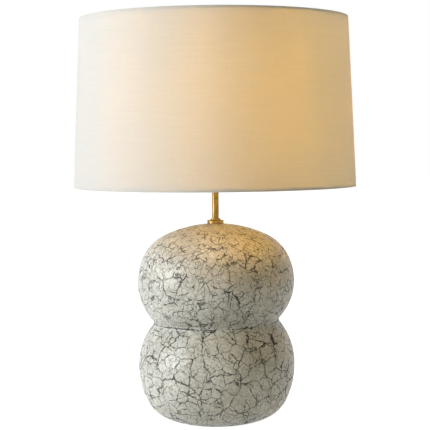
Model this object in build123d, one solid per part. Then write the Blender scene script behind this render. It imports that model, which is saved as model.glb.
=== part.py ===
from build123d import *
import os
from math import acos, asin, cos, degrees, hypot, radians, sin, sqrt

# A table lamp: a glazed double gourd body, a brass stem and socket, a harp and a tapered
# drum shade. Millimetres and degrees, +Z up, origin on the floor under the lamp's axis.
# The front of the lamp looks along -Y.

# ---- Fits ----
slip_gap = 0.1           # parts of one assembly that slide together
running_gap = 0.05       # shafts that turn in a hole
free_gap = 0.3           # parts that move past each other

# ---- Felt pad and foot ----
felt_thickness = 1.5
felt_inset = 4.0         # the pad's edge inside the foot's edge
foot_land = 18.0         # width of the ceramic ring that the lamp stands on
recess_depth = 18.5      # hollow under the body that takes the nut
floor_thickness = 7.0
floor_hole_r = 24.0

# ---- Ceramic body, as tangent arcs from the foot to the crown ----
wall = 7.0
waist_r = 108.4
lower_bulge = 26.5       # how far the lower lobe swells past the waist
upper_bulge = 26.5
foot_arc_r = 60.9
foot_arc_turn = 51.8
lower_belly_r = 139.2
lower_belly_turn = 25.2
lower_shoulder_r = 112.3
waist_fillet_r = 7.5
upper_belly_r = 92.9
upper_side_r = 105.3
upper_side_turn = 21.7
upper_shoulder_r = 77.4
upper_shoulder_turn = 42.9

# ---- Cord inlet at the back ----
inlet_angle = 20.0       # how far round the lower belly, down from its widest line
inlet_bore_r = 3.6
grommet_wall = 1.4
grommet_lip_r = 7.0
grommet_lip = 1.6

# ---- Rod and its fixings ----
rod_r = 5.1
rod_bore_r = 3.3
rod_tail = 5.0           # rod showing below its nut
nut_across = 16.0
nut_height = 5.5
washer_r = 11.0
washer_height = 1.4
plate_thickness = 2.0
plate_margin = 2.0       # the plate's edge inside the recess
wire_hole_r = 5.0
wire_hole_offset = 17.0

# ---- Collar and stem ----
pad_thickness = 0.8      # soft washer between brass and glaze
pad_inset = 0.5
collar_r = 14.3
collar_rim = 5.4
collar_neck_r = 8.8
collar_neck = 2.8
collar_cove_r = 1.6
collar_bevel = 0.5
stem_r = 6.0
stem_wall = 0.7
stem_socket = 5.0        # depth of the stem in the collar
stem_exposed = 92.05
neck_ring_r = 9.0
neck_ring_height = 3.0

# ---- Harp and its saddle ----
strip_thickness = 1.2
strip_width = 6.0
strip_bend_r = 1.5
saddle_disc_r = 10.0
ear_height = 11.0
saddle_reach = 29.0      # harp leg from the lamp's axis
lock_nut_across = 15.0
lock_nut_height = 3.0
harp_wire_r = 1.8
harp_height = 228.6
harp_half_width = 57.0
harp_leg = 50.0
harp_flare = 65.0        # height over which the legs spread
harp_bend_r = 60.0
crown_r = 8.0
crown_height = 8.0
crown_bevel = 1.2
ferrule_wall = 0.6
ferrule_length = 14.0
ferrule_cap = 1.0

# ---- Swivel stud ----
stud_shank_r = 2.5
stud_head_r = 3.9
stud_head = 1.2
stud_flange_r = 8.0
stud_flange = 2.0
stud_shoulder = 1.4
stud_thread_r = 3.175
stud_thread = 12.0

# ---- Finial ----
insert_r = 5.0
insert_length = 9.0
finial_foot_r = 9.5
finial_foot = 2.2
finial_neck_r = 6.6
finial_neck = 4.6
finial_ball_r = 10.5

# ---- Socket ----
cap_hub_r = 8.5
cap_hub = 6.0
cap_dome = 9.0
cap_rim = 5.0
cap_wall = 0.8
set_screw_r = 1.6
set_screw_length = 4.0
core_r = 15.0
core_height = 27.0
core_seat = 7.0          # core's underside below the cap's rim
shell_r = 18.2
shell_wall = 0.6
shell_length = 51.0
shell_tuck = 4.0         # how far the shell goes down into the cap
shell_bead_r = 0.8
sleeve_wall = 0.6
screw_shell_r = 13.3     # inside of the lamp holder's threaded cup
screw_shell_wall = 0.6
screw_shell_length = 25.0
contact_r = 3.5
contact_height = 3.0
terminal_r = 2.6
terminal_head = 2.0
terminal_drop = 6.0      # terminal screws below the core's top

# ---- Switch ----
spindle_r = 1.6
spindle_seat = 8.0       # spindle inside the core
spindle_drop = 13.0      # spindle below the core's top
knob_gap = 2.0           # knob clear of the shell
knob_length = 10.0
knob_r = 6.0
knob_grip = 3.4          # thickness of the knob's flat grip
knob_collar = 4.0

# ---- Bulb ----
tip_r = 4.5
tip_height = 1.5
insulator_height = 3.0
insulator_r = 9.0
bulb_cap_r = 13.0
bulb_cap_wall = 0.5
bulb_cap_length = 23.0
bulb_neck_r = 12.3
bulb_neck = 6.0
bulb_globe_r = 30.0
bulb_flare_turn = 40.0
glass_wall = 0.8

# ---- Shade ----
shade_top_r = 228.6
shade_flare = 12.7       # how far the lower edge stands out past the top edge
shade_height = 285.1     # cloth from edge to edge
shade_recess = 12.7      # hub below the top edge
fabric_thickness = 0.6
liner_thickness = 0.8
ring_wire_r = 1.5
hem_thickness = 0.5
hem_height = 5.0
hub_r = 16.0
hub_hole_r = 5.6
hub_thickness = 1.6
arm_wire_r = 1.9
arm_notch = 3.0          # arm over the hub's edge
arm_level = 150.0        # arms run level as far as this, and rise from there
arm_bend_r = 60.0
arm_weld = 0.4           # arm's end past the ring's surface
arm_count = 3
first_arm_angle = -45.0  # seen from above, from +X: the arm near the front right

# ---- Sizes that follow from the ones above ----
lower_lobe_r = waist_r + lower_bulge
upper_lobe_r = waist_r + upper_bulge
lower_shoulder_turn = degrees(acos(1 - lower_bulge / (lower_shoulder_r + waist_fillet_r)))
upper_belly_turn = degrees(acos(1 - upper_bulge / (upper_belly_r + waist_fillet_r)))
belly_cos = cos(radians(lower_belly_turn))
foot_cos = cos(radians(lower_belly_turn + foot_arc_turn))
foot_r = lower_lobe_r - lower_belly_r * (1 - belly_cos) - foot_arc_r * (belly_cos - foot_cos)
side_cos = cos(radians(upper_side_turn))
shoulder_cos = cos(radians(upper_side_turn + upper_shoulder_turn))
shoulder_end_r = (
    upper_lobe_r - upper_side_r * (1 - side_cos) - upper_shoulder_r * (side_cos - shoulder_cos)
)
body_crown_r = shoulder_end_r / shoulder_cos
body_crown_turn = 90 - upper_side_turn - upper_shoulder_turn
rod_hole_r = rod_r + slip_gap
recess_r = foot_r - foot_land
floor_low = felt_thickness + recess_depth
ear_inside = saddle_reach + harp_wire_r + running_gap
ferrule_bore_r = (
    hypot(harp_wire_r + running_gap + strip_thickness, strip_width / 2) + 2 * slip_gap
)
ferrule_r = ferrule_bore_r + ferrule_wall
sleeve_r = shell_r - shell_wall - slip_gap


def turned(outline):
    """A solid turned about the lamp's axis from an outline of radius and height."""
    return revolve(Plane.XZ * make_face(outline), Axis.Z)


def turned_points(*points):
    """A solid turned about the lamp's axis from straight lines between points."""
    return turned(Polyline(*points, close=True))


def ring(outer_r, inner_r, low, high):
    """A plain ring about the lamp's axis."""
    return Pos(0, 0, low) * extrude(Circle(outer_r) - Circle(inner_r), high - low)


def disc(radius, low, high):
    """A plain disc about the lamp's axis."""
    return Pos(0, 0, low) * extrude(Circle(radius), high - low)


def rod_of(radius, path):
    """Round wire along a path."""
    section = Plane(origin=path @ 0, z_dir=path % 0) * Circle(radius)
    return sweep(section, path=path)


def hexagon(across, bore_r, low, height):
    """A hexagon nut about the lamp's axis, given its width across flats."""
    outline = RegularPolygon(across / 2, 6, major_radius=False) - Circle(bore_r)
    return Pos(0, 0, low) * extrude(outline, height)


def body_arcs(inset, end_r):
    """The body's outline moved inwards by inset, from the foot up to end_r from the axis."""
    heading = radians(90 - lower_belly_turn - foot_arc_turn)
    point = Vector(foot_r - inset * sin(heading), felt_thickness + inset * cos(heading))
    tangent = Vector(cos(heading), sin(heading))
    crown_left = degrees(asin(end_r / (body_crown_r - inset)))
    arcs = []
    for radius, turn in (
        (foot_arc_r - inset, foot_arc_turn),
        (lower_belly_r - inset, lower_belly_turn),
        (lower_shoulder_r - inset, lower_shoulder_turn),
        (waist_fillet_r + inset, -lower_shoulder_turn - upper_belly_turn),
        (upper_belly_r - inset, upper_belly_turn),
        (upper_side_r - inset, upper_side_turn),
        (upper_shoulder_r - inset, upper_shoulder_turn),
        (body_crown_r - inset, body_crown_turn - crown_left),
    ):
        arc = JernArc(point, tangent, radius, turn)
        point = arc @ 1
        tangent = arc % 1
        arcs.append(arc)
    return arcs


# ---- Ceramic body ----
outer_arcs = body_arcs(0, collar_r)
inner_arcs = body_arcs(wall, rod_hole_r)
crown_edge = outer_arcs[-1] @ 1
crown_z = crown_edge.Y
inner_foot = inner_arcs[0] @ 0
inner_crown = inner_arcs[-1] @ 1
crown_lines = Polyline(crown_edge, (rod_hole_r, crown_z), inner_crown)
foot_lines = Polyline(
    inner_foot,
    (recess_r + wall, felt_thickness + wall),
    (recess_r + wall, floor_low + floor_thickness),
    (floor_hole_r, floor_low + floor_thickness),
    (floor_hole_r, floor_low),
    (recess_r, floor_low),
    (recess_r, felt_thickness),
    (foot_r, felt_thickness),
)
gourd_body = turned(Curve() + outer_arcs + inner_arcs + crown_lines + foot_lines)

# The cord inlet is square to the back wall, below the lower lobe's widest line.
lower_belly_z = (outer_arcs[1] @ 1).Y
inlet_slope = radians(inlet_angle)
inlet_y = lower_lobe_r - lower_belly_r * (1 - cos(inlet_slope))
inlet_z = lower_belly_z - lower_belly_r * sin(inlet_slope)
inlet_axis = (0, cos(inlet_slope), -sin(inlet_slope))
inlet_plane = Plane(origin=(0, inlet_y, inlet_z), x_dir=(1, 0, 0), z_dir=inlet_axis)
grommet_r = inlet_bore_r + grommet_wall
inner_sag = grommet_lip_r**2 / (lower_belly_r - wall)
gourd_body -= inlet_plane * Cylinder(grommet_r + running_gap, 4 * wall)
grommet_outline = Polyline(
    (inlet_bore_r, -wall - inner_sag - grommet_lip),
    (grommet_lip_r, -wall - inner_sag - grommet_lip),
    (grommet_lip_r, -wall - inner_sag),
    (grommet_r, -wall - inner_sag),
    (grommet_r, 0),
    (grommet_lip_r, 0),
    (grommet_lip_r, grommet_lip),
    (inlet_bore_r, grommet_lip),
    close=True,
)
cord_grommet = inlet_plane * turned(grommet_outline)

# ---- Foot ----
foot_felt = disc(foot_r - felt_inset, 0, felt_thickness)
plate_low = floor_low - plate_thickness
base_plate = ring(recess_r - plate_margin, rod_hole_r, plate_low, floor_low)
base_plate -= Pos(0, wire_hole_offset, plate_low) * Cylinder(wire_hole_r, 4 * plate_thickness)
washer_low = plate_low - washer_height
rod_washer = ring(washer_r, rod_hole_r, washer_low, plate_low)
nut_low = washer_low - nut_height
rod_nut = hexagon(nut_across, rod_r, nut_low, nut_height)

# ---- Collar and stem ----
collar_low = crown_z + pad_thickness
top_washer = ring(collar_r - pad_inset, rod_hole_r, crown_z, collar_low)
rim_top = collar_low + collar_rim
collar_top = rim_top + collar_neck
stem_low = collar_top - stem_socket
stem_bore_r = stem_r + slip_gap
cove_start = (collar_neck_r + collar_cove_r, rim_top)
cove_end = (collar_neck_r, rim_top + collar_cove_r)
collar_side = Polyline(
    (rod_hole_r, stem_low),
    (rod_hole_r, collar_low),
    (collar_r, collar_low),
    (collar_r, rim_top - collar_bevel),
    (collar_r - collar_bevel, rim_top),
    cove_start,
)
collar_cove = RadiusArc(cove_start, cove_end, collar_cove_r)
collar_inside = Polyline(
    cove_end,
    (collar_neck_r, collar_top),
    (stem_bore_r, collar_top),
    (stem_bore_r, stem_low),
    (rod_hole_r, stem_low),
)
collar = turned(Curve() + collar_side + collar_cove + collar_inside)
stem_top = collar_top + stem_exposed
stem_tube = ring(stem_r, stem_r - stem_wall, stem_low, stem_top)
strip_low = stem_top + neck_ring_height
neck_ring = ring(neck_ring_r, rod_hole_r, stem_top, strip_low)
neck_ring_rim = neck_ring.edges().group_by(Axis.Z)[-1].sort_by(SortBy.LENGTH)[-1]
neck_ring = chamfer(neck_ring_rim, collar_bevel)

# ---- Harp saddle ----
strip_top = strip_low + strip_thickness
ear_middle = ear_inside + strip_thickness / 2
ear_top = strip_top + ear_height
strip_middle = strip_low + strip_thickness / 2
saddle_path = FilletPolyline(
    (-ear_middle, 0, ear_top),
    (-ear_middle, 0, strip_middle),
    (ear_middle, 0, strip_middle),
    (ear_middle, 0, ear_top),
    radius=strip_bend_r + strip_thickness / 2,
)
strip_section = Plane(origin=saddle_path @ 0, x_dir=(1, 0, 0), z_dir=(0, 0, -1)) * Rectangle(
    strip_thickness, strip_width
)
harp_saddle = sweep(strip_section, path=saddle_path)
harp_saddle += disc(saddle_disc_r, strip_low, strip_top)
harp_saddle -= disc(rod_hole_r, strip_low, strip_top)
lock_nut_top = strip_top + lock_nut_height
saddle_nut = hexagon(lock_nut_across, rod_r, strip_top, lock_nut_height)

# ---- Harp ----
crown_top = strip_top + harp_height
crown_low = crown_top - crown_height
wire_crown_z = crown_top - crown_height / 2
leg_foot_z = strip_top + strip_bend_r + free_gap
flare_low_z = leg_foot_z + harp_leg
flare_top_z = flare_low_z + harp_flare
wire_end = (crown_r + stud_shank_r) / 2
harp_top_bend_r = harp_half_width - crown_r


def harp_leg_wire(side):
    """One half of the bow, on the left (-1) or the right (1), from its foot to the crown."""
    path = FilletPolyline(
        (side * saddle_reach, 0, leg_foot_z),
        (side * saddle_reach, 0, flare_low_z),
        (side * harp_half_width, 0, flare_top_z),
        (side * harp_half_width, 0, wire_crown_z),
        (side * wire_end, 0, wire_crown_z),
        radius=[harp_bend_r, harp_bend_r, harp_top_bend_r],
    )
    return rod_of(harp_wire_r, path)


bow_halves = [harp_leg_wire(side) for side in (-1, 1)]
harp_bow = Compound(children=bow_halves)
harp_crown = ring(crown_r, stud_shank_r + running_gap, crown_low, crown_top)
crown_rims = harp_crown.edges().filter_by(GeomType.CIRCLE).sort_by(SortBy.RADIUS)[-2:]
harp_crown = chamfer(crown_rims, crown_bevel)
harp_crown -= bow_halves


def ferrule(side):
    """A brass cup that slides down the harp's leg and traps it against the saddle's ear."""
    low = strip_top + free_gap
    top = low + ferrule_length
    cup = ring(ferrule_r, ferrule_bore_r, low, top - ferrule_cap)
    cap = ring(ferrule_r, harp_wire_r + slip_gap, top - ferrule_cap, top)
    return Pos(side * saddle_reach, 0, 0) * (cup + cap)


# ---- Swivel stud ----
flange_low = crown_top + slip_gap
hub_low = flange_low + stud_flange
shoulder_top = hub_low + stud_shoulder
stud_shoulder_r = hub_hole_r - free_gap
head_top = crown_low - slip_gap
harp_stud = turned_points(
    (0, head_top - stud_head),
    (stud_head_r, head_top - stud_head),
    (stud_head_r, head_top),
    (stud_shank_r, head_top),
    (stud_shank_r, flange_low),
    (stud_flange_r, flange_low),
    (stud_flange_r, hub_low),
    (stud_shoulder_r, hub_low),
    (stud_shoulder_r, shoulder_top),
    (stud_thread_r, shoulder_top),
    (stud_thread_r, shoulder_top + stud_thread),
    (0, shoulder_top + stud_thread),
)

# ---- Shade ----
hub_top = hub_low + hub_thickness
hub_middle = hub_low + hub_thickness / 2
shade_top = hub_middle + shade_recess
shade_low = shade_top - shade_height
shade_bottom_r = shade_top_r + shade_flare
taper = -shade_flare / shade_height


def wall_r(height, inset):
    """Radius of the shade's wall at a height over its lower edge, moved in by inset."""
    return shade_bottom_r + taper * height - inset


def wall_layer(low, high, outside, inside):
    """One tapered layer of the shade's wall, between two heights over its lower edge."""
    return turned_points(
        (wall_r(low, outside), shade_low + low),
        (wall_r(high, outside), shade_low + high),
        (wall_r(high, inside), shade_low + high),
        (wall_r(low, inside), shade_low + low),
    )


liner_inset = fabric_thickness + liner_thickness
ring_inset = liner_inset + slip_gap + ring_wire_r
hem_inset = ring_inset + ring_wire_r + slip_gap
ring_height = ring_wire_r + slip_gap
shade_fabric = wall_layer(0, shade_height, 0, fabric_thickness)
shade_liner = wall_layer(0, shade_height, fabric_thickness, liner_inset)


def hoop(height):
    """A wire ring inside the wall, its middle at a height over the shade's lower edge."""
    middle = (wall_r(height, ring_inset), shade_low + height)
    return revolve(Plane.XZ * (Pos(*middle) * Circle(ring_wire_r)), Axis.Z)


def hem(edge, direction):
    """Cloth rolled over an edge and its hoop, and glued inside; direction points off the cloth."""
    turn_back = edge - direction * hem_height
    fold = edge + direction * hem_thickness
    return turned_points(
        (wall_r(edge, 0), shade_low + edge),
        (wall_r(fold, 0), shade_low + fold),
        (wall_r(fold, hem_inset + hem_thickness), shade_low + fold),
        (wall_r(turn_back, hem_inset + hem_thickness), shade_low + turn_back),
        (wall_r(turn_back, hem_inset), shade_low + turn_back),
        (wall_r(edge, hem_inset), shade_low + edge),
    )


top_ring_height = shade_height - ring_height
top_ring = hoop(top_ring_height)
bottom_ring = hoop(ring_height)
top_hem = hem(shade_height, 1)
bottom_hem = hem(0, -1)
spider_hub = ring(hub_r, hub_hole_r, hub_low, hub_top)
arm_end_r = wall_r(top_ring_height, ring_inset) - ring_wire_r + arm_weld
arm_path = FilletPolyline(
    (hub_r - arm_notch, 0, hub_middle),
    (arm_level, 0, hub_middle),
    (arm_end_r, 0, shade_low + top_ring_height),
    radius=arm_bend_r,
)
spider_arms = []
for number in range(arm_count):
    turn = Rot(0, 0, first_arm_angle + number * 360 / arm_count)
    top_hem -= turn * rod_of(arm_wire_r + slip_gap, arm_path)
    spider_arms.append(turn * rod_of(arm_wire_r, arm_path) - top_ring - spider_hub)

# ---- Finial ----
insert_top = hub_top + insert_length
thread_hole_r = stud_thread_r + slip_gap
finial_insert = ring(insert_r, thread_hole_r, hub_top, insert_top)
foot_top = hub_top + finial_foot
neck_top = foot_top + finial_neck
ball_rise = sqrt(finial_ball_r**2 - finial_neck_r**2)
ball_top = neck_top + ball_rise + finial_ball_r
bore_r = insert_r + running_gap
bore_top = shoulder_top + stud_thread + free_gap
finial_lines = Polyline(
    (0, ball_top),
    (0, bore_top),
    (thread_hole_r, bore_top),
    (thread_hole_r, insert_top + running_gap),
    (bore_r, insert_top + running_gap),
    (bore_r, hub_top),
    (finial_foot_r - collar_bevel, hub_top),
    (finial_foot_r, hub_top + collar_bevel),
    (finial_foot_r, foot_top - collar_bevel),
    (finial_foot_r - collar_bevel, foot_top),
    (finial_neck_r, foot_top),
    (finial_neck_r, neck_top),
)
finial_ball = ThreePointArc(
    (finial_neck_r, neck_top),
    (finial_ball_r, neck_top + ball_rise),
    (0, ball_top),
)
finial = turned(Curve() + finial_lines + finial_ball)

# ---- Socket ----
cap_low = lock_nut_top + free_gap
hub_cap_top = cap_low + cap_hub
dome_top = hub_cap_top + cap_dome
cap_top = dome_top + cap_rim
cap_inner_r = shell_r + slip_gap
cap_r = cap_inner_r + cap_wall
rod_top = hub_cap_top - cap_wall
threaded_rod = ring(rod_r, rod_bore_r, nut_low - rod_tail, rod_top)
dome_centre = (cap_r - cap_dome, dome_top)
dome_outside = CenterArc(dome_centre, cap_dome, 270, 90)
dome_inside = CenterArc(dome_centre, cap_dome - cap_wall, 270, 90)
cap_lines = [
    Polyline((cap_r, dome_top), (cap_r, cap_top), (cap_inner_r, cap_top), (cap_inner_r, dome_top)),
    Polyline(
        (cap_r - cap_dome, hub_cap_top + cap_wall),
        (rod_r, hub_cap_top + cap_wall),
        (rod_r, cap_low),
        (cap_hub_r, cap_low),
        (cap_hub_r, hub_cap_top),
        (cap_r - cap_dome, hub_cap_top),
    ),
]
socket_cap = turned(Curve() + dome_outside + dome_inside + cap_lines)
screw_plane = Plane(origin=(0, 0, cap_low + cap_hub / 2), z_dir=(1, 0, 0))
screw_end = rod_r + set_screw_length
socket_cap -= screw_plane * extrude(Circle(set_screw_r), screw_end)
screw_shank = Pos(0, 0, rod_r) * extrude(Circle(set_screw_r), set_screw_length)
driver_slot = Pos(0, 0, screw_end) * Box(set_screw_r / 2, 2 * set_screw_r, set_screw_r)
cap_set_screw = screw_plane * (screw_shank - driver_slot)

core_low = cap_top - core_seat
core_top = core_low + core_height
shell_low = cap_top - shell_tuck
shell_top = shell_low + shell_length
bead_z = shell_top - 3 * shell_bead_r
shell_bead = Pos(0, 0, bead_z) * Torus(shell_r, shell_bead_r)
socket_shell = disc(shell_r, shell_low, shell_top) + shell_bead
socket_shell -= disc(shell_r - shell_wall, shell_low, shell_top)
insulating_sleeve = ring(sleeve_r, sleeve_r - sleeve_wall, shell_low, shell_top - shell_wall)
screw_shell_top = core_top + screw_shell_length
screw_shell = ring(screw_shell_r + screw_shell_wall, screw_shell_r, core_top, screw_shell_top)
contact_top = core_top + contact_height
centre_contact = turned_points(
    (0, core_top),
    (2 * contact_r, core_top),
    (2 * contact_r, core_top + contact_height / 3),
    (contact_r, contact_top),
    (0, contact_top),
)
socket_core = disc(core_r, core_low, core_top)
socket_core -= disc(cap_hub_r, core_low, core_low + cap_wall)
terminal_z = core_top - terminal_drop
terminal_screws = []
for side in (-1, 1):
    terminal_plane = Plane(origin=(side * core_r, 0, terminal_z), z_dir=(side, 0, 0))
    pocket = terminal_plane * Cylinder(terminal_r + slip_gap, 2 * terminal_head)
    socket_core -= pocket
    screw = extrude(Circle(terminal_r), terminal_head)
    slot = Pos(0, 0, terminal_head) * Box(2 * terminal_r, terminal_r / 3, terminal_head / 2)
    terminal_screws.append(terminal_plane * Pos(0, 0, -terminal_head) * (screw - slot))

# ---- Switch ----
spindle_z = core_top - spindle_drop
knob_y = shell_r + knob_gap
spindle_length = knob_y + knob_length / 2 - core_r + spindle_seat
spindle_plane = Plane(origin=(0, spindle_seat - core_r, spindle_z), z_dir=(0, -1, 0))
switch_spindle = spindle_plane * extrude(Circle(spindle_r), spindle_length)
spindle_hole = spindle_plane * extrude(Circle(spindle_r + running_gap), spindle_length)
socket_core -= spindle_hole
spindle_window = spindle_plane * extrude(Circle(spindle_r + free_gap), spindle_length)
socket_shell -= spindle_window
insulating_sleeve -= spindle_window
knob_plane = Plane(origin=(0, -knob_y, spindle_z), z_dir=(0, -1, 0))
knob_back = extrude(Circle(knob_r), knob_collar)
knob_blade = extrude(Rectangle(knob_grip, 2 * knob_r), knob_length)
knob_rounding = extrude(Circle(knob_r), knob_length)
switch_knob = knob_plane * (knob_back + (knob_blade & knob_rounding)) - switch_spindle

# ---- Bulb ----
tip_top = contact_top + tip_height
insulator_top = tip_top + insulator_height
bulb_cap_top = insulator_top + bulb_cap_length
bulb_contact = turned_points(
    (0, contact_top),
    (tip_r - tip_height, contact_top),
    (tip_r, tip_top),
    (0, tip_top),
)
bulb_insulator = turned_points(
    (0, tip_top),
    (tip_r, tip_top),
    (insulator_r, insulator_top),
    (0, insulator_top),
)
bulb_cap = turned_points(
    (0, insulator_top + running_gap),
    (insulator_r, insulator_top + running_gap),
    (bulb_cap_r, insulator_top + bulb_cap_r - insulator_r),
    (bulb_cap_r, bulb_cap_top),
    (bulb_cap_r - bulb_cap_wall, bulb_cap_top),
    (bulb_cap_r - bulb_cap_wall, insulator_top + bulb_cap_r - insulator_r + bulb_cap_wall),
    (insulator_r - bulb_cap_wall, insulator_top + running_gap + bulb_cap_wall),
    (0, insulator_top + running_gap + bulb_cap_wall),
)


def glass_outline(inset):
    """The bulb's outline moved in by inset, from the neck's lower end to the top."""
    flare = radians(bulb_flare_turn)
    flare_r = (bulb_globe_r * cos(flare) - bulb_neck_r) / (1 - cos(flare))
    neck_low = (bulb_neck_r - inset, bulb_cap_top - bulb_neck)
    neck_high = (bulb_neck_r - inset, bulb_cap_top + bulb_neck)
    neck_line = Line(neck_low, neck_high)
    flare_arc = JernArc(neck_high, (0, 1), flare_r + inset, -bulb_flare_turn)
    globe_arc = JernArc(
        flare_arc @ 1, flare_arc % 1, bulb_globe_r - inset, 90 + bulb_flare_turn
    )
    return [neck_line, flare_arc, globe_arc]


glass_outside = glass_outline(0)
glass_inside = glass_outline(glass_wall)
glass_ends = [
    Line(glass_outside[0] @ 0, glass_inside[0] @ 0),
    Line(glass_outside[-1] @ 1, glass_inside[-1] @ 1),
]
bulb_glass = turned(Curve() + glass_outside + glass_inside + glass_ends)

nodes = {
    "gourd_body": gourd_body,
    "foot_felt": foot_felt,
    "base_plate": base_plate,
    "rod_washer": rod_washer,
    "rod_nut": rod_nut,
    "threaded_rod": threaded_rod,
    "cord_grommet": cord_grommet,
    "top_washer": top_washer,
    "collar": collar,
    "stem_tube": stem_tube,
    "neck_ring": neck_ring,
    "harp_saddle": harp_saddle,
    "saddle_nut": saddle_nut,
    "harp_bow": harp_bow,
    "harp_crown": harp_crown,
    "ferrule_left": ferrule(-1),
    "ferrule_right": ferrule(1),
    "harp_stud": harp_stud,
    "socket_cap": socket_cap,
    "cap_set_screw": cap_set_screw,
    "socket_core": socket_core,
    "terminal_screws": Compound(children=terminal_screws),
    "centre_contact": centre_contact,
    "screw_shell": screw_shell,
    "insulating_sleeve": insulating_sleeve,
    "socket_shell": socket_shell,
    "switch_spindle": switch_spindle,
    "switch_knob": switch_knob,
    "bulb_contact": bulb_contact,
    "bulb_insulator": bulb_insulator,
    "bulb_cap": bulb_cap,
    "bulb_glass": bulb_glass,
    "shade_fabric": shade_fabric,
    "shade_liner": shade_liner,
    "top_ring": top_ring,
    "bottom_ring": bottom_ring,
    "top_hem": top_hem,
    "bottom_hem": bottom_hem,
    "spider_hub": spider_hub,
    "spider_arms": Compound(children=spider_arms),
    "finial_insert": finial_insert,
    "finial": finial,
}
os.makedirs("parts", exist_ok=True)
for name, shape in nodes.items():
    export_step(shape, f"parts/{name}.step")
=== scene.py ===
from math import cos, exp, hypot, pi, radians, sin

import bmesh
import bpy
from mathutils import Matrix, Vector


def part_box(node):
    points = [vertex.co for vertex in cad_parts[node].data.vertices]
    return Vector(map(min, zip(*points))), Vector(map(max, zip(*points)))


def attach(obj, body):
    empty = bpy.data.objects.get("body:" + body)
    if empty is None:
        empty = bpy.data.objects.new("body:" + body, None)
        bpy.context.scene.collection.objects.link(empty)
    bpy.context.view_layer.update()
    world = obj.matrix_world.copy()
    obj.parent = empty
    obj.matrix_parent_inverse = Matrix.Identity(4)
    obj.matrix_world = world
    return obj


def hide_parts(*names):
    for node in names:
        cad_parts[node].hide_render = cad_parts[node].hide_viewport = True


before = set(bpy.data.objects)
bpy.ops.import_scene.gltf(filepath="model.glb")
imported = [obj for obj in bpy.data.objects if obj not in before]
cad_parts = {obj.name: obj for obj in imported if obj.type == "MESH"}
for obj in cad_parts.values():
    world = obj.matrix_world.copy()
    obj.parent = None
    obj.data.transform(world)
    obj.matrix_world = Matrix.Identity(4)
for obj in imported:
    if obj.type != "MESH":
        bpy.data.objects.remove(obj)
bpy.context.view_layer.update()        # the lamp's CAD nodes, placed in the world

MM = 0.001
WELD = 0.01 * MM         # points of one CAD corner lie closer than this
ON_CUT = 0.001 * MM      # points this close to a cutting plane lie on it
SHARP = radians(32)      # edges that turn more than this are drawn as edges
AROUND = 192             # steps round a turned piece of the shade
ROUNDING_STEPS = 3

# ---- Camera ----
EYE = Vector((-0.0007, -2.16685, 0.48304))
LOOK_DOWN = radians(3.4666)
ROLL = -0.009            # radians
LENS_MM = 105.5
SENSOR_MM = 36
SEES_TO = 50

# ---- Ceramic body ----
WAIST_Z = 0.16927
WAIST_TILT = 0.0196      # how much higher the waist lies for each metre to the right
WAIST_REACH = 54 * MM    # the tilt dies out over this height
LOBE_CHANGE = 2 * MM     # height, each side of the waist, over which the cracks change

# ---- Crackle ----
NET_PLACE = (1.27, -0.45, 0.33)      # where in the endless net of cracks the body lies
# Noise that tears the net: clouds per metre, and how far it pushes.
TEARS = ((15, 16 * MM), (62, 7.2 * MM), (180, 4 * MM), (430, 2 * MM))
PATCHY = (0.38, 0.64)    # range of the noise over which cracks go from narrow to wide
# The nets, finest first. Cells and patches are counts per metre. half_width runs from least to
# most over the patches, and under 0 is no crack; on_lower_lobe is added to it there. soft is the
# blurred edge, share how much of the crack's colour shows, and dent how deep it lies.
CRACK_NETS = {
    "hair": dict(cells=185, half_width=(0, 0.40 * MM), patches=110, soft=0.22 * MM,
                 on_lower_lobe=0, share=0.55, colour=(0.17, 0.163, 0.125), dent=0),
    "thin": dict(cells=105, half_width=(0.10 * MM, 0.62 * MM), patches=85, soft=0.25 * MM,
                 on_lower_lobe=-0.12 * MM, share=0.86, colour=(0.075, 0.072, 0.057), dent=0.35),
    "middling": dict(cells=50, half_width=(0.10 * MM, 0.95 * MM), patches=60, soft=0.3 * MM,
                     on_lower_lobe=0.1 * MM, share=0.90, colour=(0.045, 0.044, 0.037),
                     dent=0.7),
    "wide": dict(cells=24, half_width=(-0.10 * MM, 0.95 * MM), patches=45, soft=0.3 * MM,
                 on_lower_lobe=0.2 * MM, share=0.97, colour=(0.018, 0.018, 0.016), dent=1),
}
# The crack along the waist is also painted shade: its dark line stands for the shade in the
# waist's crease.
CREASE_RAGGED = 0.4      # share of the tearing that the crack along the waist takes
CREASE_CLOUDS = 45       # per metre
CREASE_PATCHY = (0.36, 0.56)
CREASE_HALF_WIDTH = (0.2 * MM, 1.3 * MM)
CREASE_SOFT = 0.5 * MM

# ---- Cloth ----
CLOTH_THICKNESS = 0.4 * MM
SEAM_WIDTH = 9 * MM
SEAM_LIFT = 0.35 * MM
SEAM_STEPS = 6
HEM_ROUNDING = 0.2 * MM
HEM_SHARP = radians(75)

# ---- Felt ----
PAD_ROUNDING = 0.3 * MM
PAD_STEPS = 96

# ---- Thread of the bulb's cap ----
THREAD_PITCH = 25.4 / 7 * MM
THREAD_PROUD = 0.15 * MM
THREAD_DEPTH = 0.6 * MM
THREAD_START = 4.5 * MM  # above the cap's lower end
THREAD_STOP = 2 * MM     # under its upper end
THREAD_FOOT = 0.42       # half the ridge's width at its foot, as a share of the pitch
THREAD_CREST = 0.3       # its width at the crest, as a share of that at the foot
THREAD_STEPS = 24        # steps a turn
THREAD_SHARP = radians(80)

# ---- Light ----
GLOW_TURN = radians(38)  # the shade glows most this far round to the right of its front
GLOW_WAY = Vector((sin(GLOW_TURN), -cos(GLOW_TURN), 0))
GLOW_HEIGHT = 0.548
GLOW_SETBACK = 20 * MM
GLOBE_CLEAR = 1 * MM     # the bulb's light starts this far outside its glass

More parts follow.
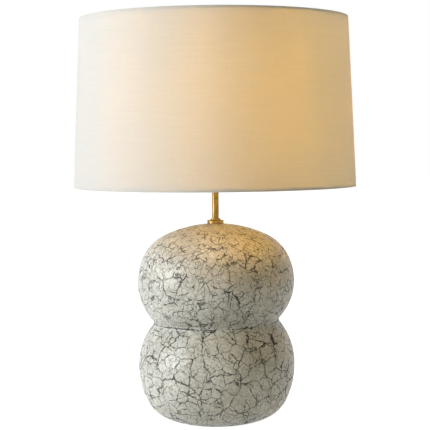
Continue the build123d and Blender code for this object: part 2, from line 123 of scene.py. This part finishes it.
# What the surroundings send, by the way they lie: -1 is the camera's side, 1 is behind the lamp.
FRONT_LIGHT = (0.43, 0.385, 0.265)
FRONT_SPREAD = (0.3, -0.6)
BACK_LIGHT = (0.45, 0.45, 0.45)
BACK_SPREAD = (0, 0.6)
METAL_FRONT = (0.20, 0.19, 0.16)
METAL_SPREAD = (0.1, 0.8)
BLACK = (0, 0, 0)
WHITE = (1, 1, 1)
FLOOR_GREY = (0.70, 0.70, 0.70)
FLOOR_LIFT = 0.94        # what the floor adds towards the camera, to be white there
FLOOR_HALF = 12


# ======== Shaders ========

def feed(tree, node, key, value):
    """Gives a node's input a number, a colour or another node's output."""
    if isinstance(value, bpy.types.NodeSocket):
        tree.links.new(value, node.inputs[key])
    elif node.inputs[key].type == "RGBA":
        node.inputs[key].default_value = (*value, 1)
    else:
        node.inputs[key].default_value = value


def add(tree, kind, inputs=None, **settings):
    """A new node with its settings and inputs."""
    made = tree.nodes.new(kind)
    for key, value in settings.items():
        setattr(made, key, value)
    for key, value in (inputs or {}).items():
        feed(tree, made, key, value)
    return made


def maths(tree, operation, *values, clamp=False):
    """One sum on one to three values."""
    made = add(tree, "ShaderNodeMath", dict(enumerate(values)), operation=operation,
               use_clamp=clamp)
    return made.outputs[0]


def vectors(tree, operation, inputs):
    """One sum on places."""
    return add(tree, "ShaderNodeVectorMath", inputs, operation=operation).outputs[0]


def ramp(tree, value, across=(0.3, 0.7), to=(0, 1)):
    """What to runs through while value goes across. Noise fills about 0.3 to 0.7."""
    return add(tree, "ShaderNodeMapRange", {
        "Value": value, "From Min": across[0], "From Max": across[1],
        "To Min": to[0], "To Max": to[1],
    }).outputs[0]


def blend_colours(tree, share, first, second, blend_type="MIX"):
    """Two colours, the second laid over the first by share."""
    made = add(tree, "ShaderNodeMix", {0: share}, data_type="RGBA", blend_type=blend_type)
    feed(tree, made, 6, first)
    feed(tree, made, 7, second)
    return made.outputs[2]


def noise(tree, place, per_metre, detail=2.0, rough=0.5):
    """Cloudy noise with so many clouds in a metre."""
    return add(tree, "ShaderNodeTexNoise", {
        "Vector": place, "Scale": per_metre, "Detail": detail, "Roughness": rough,
    })


def clouds(tree, place, per_metre, detail=2.0, rough=0.5):
    """The same noise as one value."""
    return noise(tree, place, per_metre, detail, rough).outputs[0]


def streaks(tree, place, per_metre, detail=2.0, rough=0.5):
    """Noise drawn out into streaks: per_metre is along X, Y and Z."""
    stretched = add(tree, "ShaderNodeMapping", {"Vector": place, "Scale": per_metre}).outputs[0]
    return clouds(tree, stretched, 1.0, detail, rough)


def new_material(name, colour, roughness, metallic=0.0):
    """A new material, its node tree, its main shader and the place on the piece."""
    material = bpy.data.materials.new(name)
    material.use_nodes = True
    tree = material.node_tree
    shader = tree.nodes["Principled BSDF"]
    feed(tree, shader, "Base Color", colour)
    feed(tree, shader, "Roughness", roughness)
    feed(tree, shader, "Metallic", metallic)
    material.diffuse_color = (*colour, 1)
    place = add(tree, "ShaderNodeTexCoord").outputs["Object"]
    return material, tree, shader, place


def bump(tree, shader, height, distance, strength=0.5):
    """Fine relief of a height pattern, distance in metres."""
    relief = add(tree, "ShaderNodeBump", {
        "Height": height, "Distance": distance, "Strength": strength,
    })
    feed(tree, shader, "Normal", relief.outputs[0])


def cracks_between(tree, place, net, lower):
    """1 inside the cracks of a net and 0 outside; lower is 1 on the lower lobe."""
    cells = add(tree, "ShaderNodeTexVoronoi", {"Vector": place, "Scale": net["cells"]},
                feature="DISTANCE_TO_EDGE")
    distance = maths(tree, "DIVIDE", cells.outputs["Distance"], net["cells"])
    patches = clouds(tree, place, net["patches"], 3.0, 0.6)
    half_width = maths(tree, "MULTIPLY_ADD", lower, net["on_lower_lobe"],
                       ramp(tree, patches, PATCHY, net["half_width"]))
    inside = maths(tree, "SUBTRACT", half_width, distance)
    return maths(tree, "DIVIDE", inside, net["soft"], clamp=True)


def torn_place(tree, place):
    """A place in the net of cracks, pushed about so that the cracks run jagged."""
    torn = add(tree, "ShaderNodeMapping", {"Vector": place, "Location": NET_PLACE}).outputs[0]
    for per_metre, reach in TEARS:
        push = noise(tree, torn, per_metre, 2.0, 0.6).outputs["Color"]
        centred = vectors(tree, "SUBTRACT", {0: push, 1: (0.5, 0.5, 0.5)})
        small = vectors(tree, "SCALE", {0: centred, "Scale": reach})
        torn = vectors(tree, "ADD", {0: torn, 1: small})
    return torn


def crease_crack_and_shade(tree, place, torn, spot, crease):
    """1 inside the crack that runs along the waist, ragged and of uneven width; its dark colour is
    also painted shade in the waist's crease.
    """
    torn_z = add(tree, "ShaderNodeSeparateXYZ", {0: torn}).outputs[2]
    torn_by = maths(tree, "SUBTRACT", maths(tree, "SUBTRACT", torn_z, NET_PLACE[2]),
                    spot.outputs[2])
    ragged_z = maths(tree, "MULTIPLY_ADD", torn_by, CREASE_RAGGED, spot.outputs[2])
    half_width = ramp(tree, clouds(tree, place, CREASE_CLOUDS, 3.0, 0.6), CREASE_PATCHY,
                      CREASE_HALF_WIDTH)
    distance = maths(tree, "ABSOLUTE", maths(tree, "SUBTRACT", ragged_z, crease))
    inside = maths(tree, "SUBTRACT", half_width, distance)
    return maths(tree, "DIVIDE", inside, CREASE_SOFT, clamp=True)


def crackle_glaze():
    """Pale satin glaze over a dark body, torn into nets of broken cracks."""
    material, tree, shader, place = new_material("crackle_glaze", (0.55, 0.54, 0.51), 0.4)
    torn = torn_place(tree, place)
    spot = add(tree, "ShaderNodeSeparateXYZ", {0: place})
    crease = maths(tree, "MULTIPLY_ADD", spot.outputs[0], WAIST_TILT, WAIST_Z)
    above = maths(tree, "SUBTRACT", spot.outputs[2], crease)
    lower = ramp(tree, above, (LOBE_CHANGE, -LOBE_CHANGE))

    broad = clouds(tree, place, 14, 4.0, 0.6)
    mottle = clouds(tree, torn, 240, 3.0, 0.7)
    colour = blend_colours(tree, ramp(tree, broad, (0.35, 0.65)),
                           (0.60, 0.60, 0.55), (0.80, 0.80, 0.755))
    colour = blend_colours(tree, ramp(tree, mottle, (0.60, 0.36), (0, 0.42)),
                           colour, (0.27, 0.26, 0.215))
    depth = 0
    for name, net in CRACK_NETS.items():
        cracks = cracks_between(tree, torn, net, lower)
        if name == "wide":
            # The waist's crack joins the wide net: a crack, and painted shade of the crease.
            cracks = maths(tree, "MAXIMUM", cracks, crease_crack_and_shade(tree, place, torn, spot, crease))
        share = maths(tree, "MULTIPLY", cracks, net["share"])
        colour = blend_colours(tree, share, colour, net["colour"])
        depth = maths(tree, "MAXIMUM", depth, maths(tree, "MULTIPLY", cracks, net["dent"]))
    feed(tree, shader, "Base Color", colour)

    satin = ramp(tree, mottle, to=(0.33, 0.45))
    feed(tree, shader, "Roughness", maths(tree, "MULTIPLY_ADD", depth, 0.35, satin))
    feed(tree, shader, "Coat Weight", 0.15)
    feed(tree, shader, "Coat Roughness", 0.4)
    grain = maths(tree, "MULTIPLY", mottle, 0.12)
    bump(tree, shader, maths(tree, "SUBTRACT", grain, depth), 0.5 * MM, 0.6)
    return material


def brass(name, light, dark, roughness):
    """Turned brass: fine tool lines across the axis, and a faint darker film in patches."""
    material, tree, shader, place = new_material(name, light, roughness, metallic=1.0)
    lines = streaks(tree, place, (60, 60, 4200), 3.0, 0.7)
    film = clouds(tree, place, 60, 4.0, 0.65)
    feed(tree, shader, "Base Color",
         blend_colours(tree, ramp(tree, film, (0.35, 0.6)), dark, light))
    worn = maths(tree, "ADD", ramp(tree, film, to=(roughness + 0.10, roughness - 0.03)),
                 ramp(tree, lines, to=(0, 0.08)))
    feed(tree, shader, "Roughness", worn)
    bump(tree, shader, lines, 0.04 * MM)
    return material


def grained(name, colour, roughness, metallic, grain, detail, rough, darker, worn, relief,
            strength=0.5):
    """One colour with a cloudy grain, which darkens it, changes its gloss and lifts it."""
    material, tree, shader, place = new_material(name, colour, roughness, metallic)
    cloud = clouds(tree, place, grain, detail, rough)
    dark = tuple(channel * darker for channel in colour)
    feed(tree, shader, "Base Color", blend_colours(tree, ramp(tree, cloud), dark, colour))
    feed(tree, shader, "Roughness",
         ramp(tree, cloud, to=(roughness + worn[0], roughness + worn[1])))
    bump(tree, shader, cloud, relief, strength)
    return material


def plain_metal(name, colour, roughness):
    """Plated or bare metal with a fine cloudy grain."""
    return grained(name, colour, roughness, metallic=1.0, grain=300, detail=4.0, rough=0.6,
                   darker=0.78, worn=(-0.06, 0.08), relief=0.03 * MM, strength=0.4)


def enamel(name, colour, roughness, grain=400, relief=0.04 * MM):
    """Paint, rubber or moulded material: one colour with a faint grain."""
    return grained(name, colour, roughness, metallic=0.0, grain=grain, detail=3.0, rough=0.55,
                   darker=0.86, worn=(-0.05, 0.06), relief=relief)


def felt():
    """Pressed wool: matted fibres in two tones."""
    material, tree, shader, place = new_material("felt", (0.10, 0.085, 0.07), 0.95)
    fibres = clouds(tree, place, 900, 5.0, 0.75)
    feed(tree, shader, "Base Color", blend_colours(
        tree, ramp(tree, fibres, (0.35, 0.65)), (0.06, 0.05, 0.042), (0.15, 0.13, 0.11)))
    feed(tree, shader, "Sheen Weight", 0.4)
    feed(tree, shader, "Sheen Roughness", 0.5)
    bump(tree, shader, fibres, 0.4 * MM, 0.8)
    return material


def lit_through(tree, shader, colour, share):
    """Lets light through a thin wall: share of it goes on, spread out, and the rest comes back."""
    through = add(tree, "ShaderNodeBsdfTranslucent", {"Color": colour})
    both = add(tree, "ShaderNodeMixShader", {
        0: share, 1: shader.outputs[0], 2: through.outputs[0],
    })
    feed(tree, tree.nodes["Material Output"], "Surface", both.outputs[0])


def ivory_cloth(name, dark, light, lets_through):
    """Fine plain weave, warp upright and weft level, with slubs where a thread runs thick."""
    material, tree, shader, place = new_material(name, light, 0.85)
    warp = streaks(tree, place, (2100, 2100, 16))
    weft = streaks(tree, place, (18, 18, 2400))
    slubs = streaks(tree, place, (10, 10, 700), 3.0, 0.6)
    threads = maths(tree, "MULTIPLY", maths(tree, "ADD", warp, weft), 0.5)
    weave = maths(tree, "MULTIPLY_ADD", threads, 0.7, maths(tree, "MULTIPLY", slubs, 0.3))
    colour = blend_colours(tree, ramp(tree, weave, (0.35, 0.6)), dark, light)
    feed(tree, shader, "Base Color", colour)
    feed(tree, shader, "Sheen Weight", 0.08)
    feed(tree, shader, "Sheen Roughness", 0.4)
    bump(tree, shader, threads, 0.12 * MM)
    warmed = blend_colours(tree, 1.0, colour, (1.0, 0.985, 0.95), "MULTIPLY")
    lit_through(tree, shader, warmed, lets_through)
    return material


def styrene():
    """The stiff white backing that the cloth is laminated to."""
    material, tree, shader, place = new_material("styrene", (0.82, 0.81, 0.78), 0.45)
    cloud = clouds(tree, place, 35, 3.0)
    feed(tree, shader, "Base Color", blend_colours(
        tree, ramp(tree, cloud), (0.79, 0.78, 0.745), (0.84, 0.835, 0.81)))
    bump(tree, shader, cloud, 0.2 * MM, 0.3)
    lit_through(tree, shader, (0.95, 0.94, 0.90), 0.68)
    return material


def frosted_glass():
    """The lit bulb: glass with a white coat inside, a little uneven."""
    material, tree, shader, place = new_material("frosted_glass", (0.60, 0.57, 0.51), 0.25)
    cloud = clouds(tree, place, 120)
    feed(tree, shader, "Emission Color", blend_colours(
        tree, ramp(tree, cloud), (1.0, 0.74, 0.42), (1.0, 0.80, 0.50)))
    feed(tree, shader, "Emission Strength", 0.4)
    feed(tree, shader, "Coat Weight", 0.3)
    return material


# ======== Meshes ========

def shaped(name, mesh, body, material, smooth_under=SHARP):
    """The finished piece of a bmesh, with soft shading up to its sharp edges."""
    bmesh.ops.recalc_face_normals(mesh, faces=mesh.faces[:])
    for edge in mesh.edges:
        edge.smooth = len(edge.link_faces) == 2 and edge.calc_face_angle(0.0) < smooth_under
    for face in mesh.faces:
        face.smooth = True
    data = bpy.data.meshes.new(name)
    mesh.to_mesh(data)
    mesh.free()
    piece = bpy.data.objects.new(name, data)
    bpy.context.scene.collection.objects.link(piece)
    data.materials.append(material)
    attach(piece, body)
    return piece


def weld(mesh, distance=WELD):
    """Joins up points that lie in one place."""
    bmesh.ops.remove_doubles(mesh, verts=mesh.verts[:], dist=distance)


def merged_copy(node):
    """A bmesh of a CAD node with its loose triangles joined up."""
    mesh = bmesh.new()
    mesh.from_mesh(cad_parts[node].data)
    weld(mesh)
    return mesh


def half_outline(node):
    """The edges of a turned CAD node where the plane y = 0 cuts it, on the right of its axis."""
    mesh = merged_copy(node)
    for across, keep_right in (((0, 1, 0), False), ((1, 0, 0), True)):
        everything = mesh.verts[:] + mesh.edges[:] + mesh.faces[:]
        bmesh.ops.bisect_plane(mesh, geom=everything, dist=ON_CUT, plane_co=(0, 0, 0),
                               plane_no=across, clear_inner=True, clear_outer=not keep_right)
    weld(mesh)
    return mesh


def spin(mesh, geometry, angle, steps, **more):
    """Turns some of a bmesh round the lamp's axis."""
    bmesh.ops.spin(mesh, geom=geometry, cent=(0, 0, 0), axis=(0, 0, 1), angle=angle, steps=steps,
                   **more)


def spun(mesh, steps=AROUND):
    """Turns an outline once round the lamp's axis."""
    spin(mesh, mesh.verts[:] + mesh.edges[:], 2 * pi, steps, use_merge=True)
    weld(mesh)
    return mesh


def helix_ridge(radius, depth, pitch, low, high):
    """A screw thread's ridge as a closed coil, its crest at radius and its root depth inside."""
    mesh = bmesh.new()
    middle = low + pitch / 2
    foot = pitch * THREAD_FOOT
    crest = foot * THREAD_CREST
    section = [mesh.verts.new(place) for place in (
        (radius - depth, 0, middle - foot), (radius, 0, middle - crest),
        (radius, 0, middle + crest), (radius - depth, 0, middle + foot),
    )]
    mesh.faces.new(section)
    turns = (high - low) / pitch - 1
    steps = int(turns * THREAD_STEPS)
    spin(mesh, mesh.faces[:], 2 * pi * turns, steps, dvec=(0, 0, turns * pitch / steps))
    weld(mesh, ON_CUT)
    return mesh


# ======== Finishes of the CAD nodes ========

glaze = crackle_glaze()
brushed = brass("brushed_brass", (0.40, 0.25, 0.07), (0.27, 0.155, 0.035), 0.20)
bright = brass("bright_brass", (0.62, 0.43, 0.17), (0.48, 0.31, 0.10), 0.20)
steel = plain_metal("plated_steel", (0.62, 0.61, 0.58), 0.32)
spindle_steel = plain_metal("spindle_steel", (0.55, 0.55, 0.55), 0.28)
bulb_metal = plain_metal("bulb_metal", (0.74, 0.73, 0.70), 0.25)
white_steel = enamel("white_steel", (0.86, 0.86, 0.84), 0.35)
rubber = enamel("soft_rubber", (0.045, 0.042, 0.04), 0.7, grain=700, relief=0.08 * MM)
phenolic = enamel("phenolic", (0.028, 0.020, 0.016), 0.3, grain=260)
fibre_card = enamel("fibre_card", (0.42, 0.33, 0.21), 0.85, grain=900, relief=0.1 * MM)
cloth = ivory_cloth("ivory_fabric", (0.85, 0.85, 0.84), (0.92, 0.92, 0.915), lets_through=0.4)
# The hem's cloth is darker than the wall's. The darker colour is painted shade of the rolled fold.
# It lets less light through because the hoop and the extra layers stop it.
shaded_hem_cloth = ivory_cloth("ivory_fabric_hem_painted_shade", (0.70, 0.665, 0.59), (0.78, 0.75, 0.68),
                        lets_through=0.08)
backing = styrene()
glass = frosted_glass()
wool = felt()

NODE_FINISHES = {
    brushed: ("collar", "stem_tube", "neck_ring", "finial", "finial_insert", "ferrule_left",
              "ferrule_right"),
    bright: ("harp_bow", "harp_crown", "harp_saddle", "harp_stud", "socket_cap", "socket_shell",
             "centre_contact", "screw_shell", "terminal_screws"),
    steel: ("base_plate", "rod_washer", "rod_nut", "threaded_rod", "saddle_nut",
            "cap_set_screw"),
    spindle_steel: ("switch_spindle",),
    bulb_metal: ("bulb_cap", "bulb_contact"),
    phenolic: ("socket_core", "switch_knob", "bulb_insulator"),
    rubber: ("cord_grommet", "top_washer"),
    fibre_card: ("insulating_sleeve",),
    white_steel: ("spider_hub", "spider_arms", "top_ring", "bottom_ring"),
    backing: ("shade_liner",),
    glass: ("bulb_glass",),
}
for material, nodes in NODE_FINISHES.items():
    for node in nodes:
        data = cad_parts[node].data
        data.materials.clear()
        data.materials.append(material)


# ======== Ceramic body ========

# The waist lies higher on the right and lower on the left, as on the hand-thrown body.
mesh = merged_copy("gourd_body")
for vert in mesh.verts:
    away = (vert.co.z - WAIST_Z) / WAIST_REACH
    vert.co.z += WAIST_TILT * vert.co.x * exp(-away * away / 2)
gourd = shaped("glazed_body", mesh, "base", glaze)
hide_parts("gourd_body")


# ======== Shade ========

# The cloth is one closed turned wall on the liner, with its CAD solid's outside.
fabric_low, fabric_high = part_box("shade_fabric")
outline = half_outline("shade_fabric")
low_points = [vert for vert in outline.verts if vert.co.z < fabric_low.z + MM]
high_points = [vert for vert in outline.verts if vert.co.z > fabric_high.z - MM]
bottom_r = max(vert.co.x for vert in low_points)
top_r = max(vert.co.x for vert in high_points)
for points, outer_r in ((low_points, bottom_r), (high_points, top_r)):
    for vert in points:
        if vert.co.x < outer_r - WELD:
            vert.co.x = outer_r - CLOTH_THICKNESS
shade_cloth = shaped("shade_cloth", spun(outline), "shade", cloth)
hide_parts("shade_fabric")


def rolled_hem(node, name):
    """Cloth rolled over the hoop at an edge, with its corners rounded, in the hem cloth whose
    darker colour is painted shade of the fold.
    """
    mesh = half_outline(node)
    bmesh.ops.contextual_create(mesh, geom=mesh.edges[:])
    bmesh.ops.bevel(mesh, geom=mesh.verts[:], offset=HEM_ROUNDING, segments=ROUNDING_STEPS,
                    profile=0.5, affect="VERTICES", material=-1)
    bmesh.ops.delete(mesh, geom=mesh.faces[:], context="FACES_ONLY")
    piece = shaped(name, spun(mesh), "shade", shaded_hem_cloth, HEM_SHARP)
    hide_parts(node)
    return piece


hems = [rolled_hem("top_hem", "top_roll"), rolled_hem("bottom_hem", "bottom_roll")]

# The cloth's ends overlap at the back in one upright seam.
seam_turn = SEAM_WIDTH / bottom_r
mesh = bmesh.new()
seam_section = [mesh.verts.new((radius, 0, height)) for radius, height in (
    (bottom_r - CLOTH_THICKNESS / 2, fabric_low.z),
    (top_r - CLOTH_THICKNESS / 2, fabric_high.z),
    (top_r + SEAM_LIFT, fabric_high.z),
    (bottom_r + SEAM_LIFT, fabric_low.z),
)]
mesh.faces.new(seam_section)
bmesh.ops.rotate(mesh, verts=mesh.verts[:], cent=(0, 0, 0),
                 matrix=Matrix.Rotation(pi / 2 - seam_turn / 2, 3, "Z"))
spin(mesh, mesh.faces[:], seam_turn, SEAM_STEPS)
weld(mesh)
seam = shaped("shade_seam", mesh, "shade", cloth)


# ======== Felt pad ========

mesh = spun(half_outline("foot_felt"), PAD_STEPS)
bmesh.ops.recalc_face_normals(mesh, faces=mesh.faces[:])
rims = [edge for edge in mesh.edges if edge.calc_face_angle(0.0) > SHARP]
bmesh.ops.bevel(mesh, geom=rims, offset=PAD_ROUNDING, segments=ROUNDING_STEPS, profile=0.5,
                affect="EDGES", material=-1)
pad = shaped("felt_pad", mesh, "base", wool)
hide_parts("foot_felt")


# ======== Thread of the bulb's cap ========

cap_low, cap_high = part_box("bulb_cap")
mesh = helix_ridge(cap_high.x + THREAD_PROUD, THREAD_DEPTH, THREAD_PITCH,
                   cap_low.z + THREAD_START, cap_high.z - THREAD_STOP)
shaped("bulb_cap_thread", mesh, "bulb", bulb_metal, THREAD_SHARP)


# ======== Light ========

def emitter(name, kind, place, target, watts, colour, **settings):
    """A lamp that the camera doesn't see, turned towards a target."""
    data = bpy.data.lights.new(name, kind)
    data.energy = watts
    data.color = colour
    for key, value in settings.items():
        setattr(data, key, value)
    lamp = bpy.data.objects.new(name, data)
    bpy.context.scene.collection.objects.link(lamp)
    lamp.location = place
    lamp.rotation_mode = "QUATERNION"
    lamp.rotation_quaternion = (Vector(target) - Vector(place)).to_track_quat("-Z", "Y")
    lamp.visible_camera = False
    return lamp


emitter("window", "AREA", place=(-2.57, -0.93, 0.96), target=(0, 0, 0.38), watts=67,
        colour=(0.92, 0.96, 1), shape="RECTANGLE", size=1.3, size_y=1.5)
fill = emitter("shade_fill", "AREA", place=(2.72, 0.48, 0.77), target=(0, 0, 0.4), watts=14,
               colour=(1, 0.92, 0.62), shape="RECTANGLE", size=2.0, size_y=2.0)

# The bulb's own light: a ball just outside its glass, which moves with it.
globe_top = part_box("bulb_glass")[1]
globe_r = globe_top.x
globe = Vector((0, 0, globe_top.z - globe_r))
bulb_light = emitter("bulb_light", "POINT", place=globe, target=globe + Vector((0, 0, 1)),
                     watts=0.27, colour=(1, 0.52, 0.10),
                     shadow_soft_size=globe_r + GLOBE_CLEAR, use_soft_falloff=False)
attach(bulb_light, "bulb")

# The glow of the shade, which is stronger than the bulb gives at this plain level.
glow_place = Vector((0, 0, GLOW_HEIGHT)) - GLOW_WAY * GLOW_SETBACK
glow = emitter("shade_glow", "AREA", place=glow_place, target=glow_place + GLOW_WAY, watts=3.1,
               colour=(1, 0.515, 0.03), shape="RECTANGLE", size=0.05, size_y=0.27)
glow.visible_glossy = False

# The fill and the glow light the shade alone.
lit_pieces = bpy.data.collections.new("lit_by_shade_glow")
for piece in (shade_cloth, seam, *hems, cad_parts["shade_liner"]):
    lit_pieces.objects.link(piece)
for lamp in (glow, fill):
    lamp.light_linking.receiver_collection = lit_pieces
glow.light_linking.blocker_collection = lit_pieces


# ======== Surroundings ========

def kinds_of_ray(tree):
    """1 for the camera's own rays, and 1 for those that metal or clear glass sends on."""
    path = add(tree, "ShaderNodeLightPath").outputs
    clear = maths(tree, "SUBTRACT", path["Is Transmission Ray"], path["Is Diffuse Ray"],
                  clamp=True)
    sent_on = maths(tree, "MAXIMUM", path["Is Glossy Ray"], clear)
    return path["Is Camera Ray"], sent_on


world = bpy.data.worlds.new("studio")
bpy.context.scene.world = world
world.use_nodes = True
tree = world.node_tree
tree.nodes.clear()
direction = add(tree, "ShaderNodeTexCoord").outputs["Generated"]
behind = add(tree, "ShaderNodeSeparateXYZ", {0: direction}).outputs[1]
from_back = blend_colours(tree, ramp(tree, behind, BACK_SPREAD), BLACK, BACK_LIGHT)
soft = blend_colours(tree, ramp(tree, behind, FRONT_SPREAD), from_back, FRONT_LIGHT)
in_metal = blend_colours(tree, ramp(tree, behind, METAL_SPREAD), METAL_FRONT, WHITE)
camera_ray, sent_on = kinds_of_ray(tree)
around = blend_colours(tree, sent_on, soft, in_metal)
seen = blend_colours(tree, camera_ray, around, WHITE)
surround = add(tree, "ShaderNodeBackground", {"Color": seen, "Strength": 1.0})
add(tree, "ShaderNodeOutputWorld", {"Surface": surround.outputs[0]})

mesh = bmesh.new()
bmesh.ops.create_grid(mesh, x_segments=1, y_segments=1, size=FLOOR_HALF)
floor_data = bpy.data.meshes.new("floor")
mesh.to_mesh(floor_data)
mesh.free()
floor = bpy.data.objects.new("floor", floor_data)
bpy.context.scene.collection.objects.link(floor)
paper = bpy.data.materials.new("floor_paper")
paper.use_nodes = True
tree = paper.node_tree
tree.nodes.clear()
matt = add(tree, "ShaderNodeBsdfDiffuse", {"Color": FLOOR_GREY})
white = add(tree, "ShaderNodeEmission", {"Color": WHITE, "Strength": FLOOR_LIFT})
lifted = maths(tree, "MAXIMUM", *kinds_of_ray(tree))
lift = add(tree, "ShaderNodeMixShader", {0: lifted, 2: white.outputs[0]})
total = add(tree, "ShaderNodeAddShader", {0: matt.outputs[0], 1: lift.outputs[0]})
add(tree, "ShaderNodeOutputMaterial", {"Surface": total.outputs[0]})
floor_data.materials.append(paper)


# ======== Camera ========

camera_data = bpy.data.cameras.new("camera")
camera_data.lens = LENS_MM
camera_data.sensor_width = SENSOR_MM
camera_data.clip_end = SEES_TO
camera = bpy.data.objects.new("camera", camera_data)
camera.matrix_world = (
    Matrix.Translation(EYE)
    @ Matrix.Rotation(pi / 2 - LOOK_DOWN, 4, "X")
    @ Matrix.Rotation(ROLL, 4, "Z")
)
bpy.context.scene.collection.objects.link(camera)
bpy.context.scene.camera = camera
bpy.context.scene.view_settings.view_transform = "Standard"

bpy.context.view_layer.update()
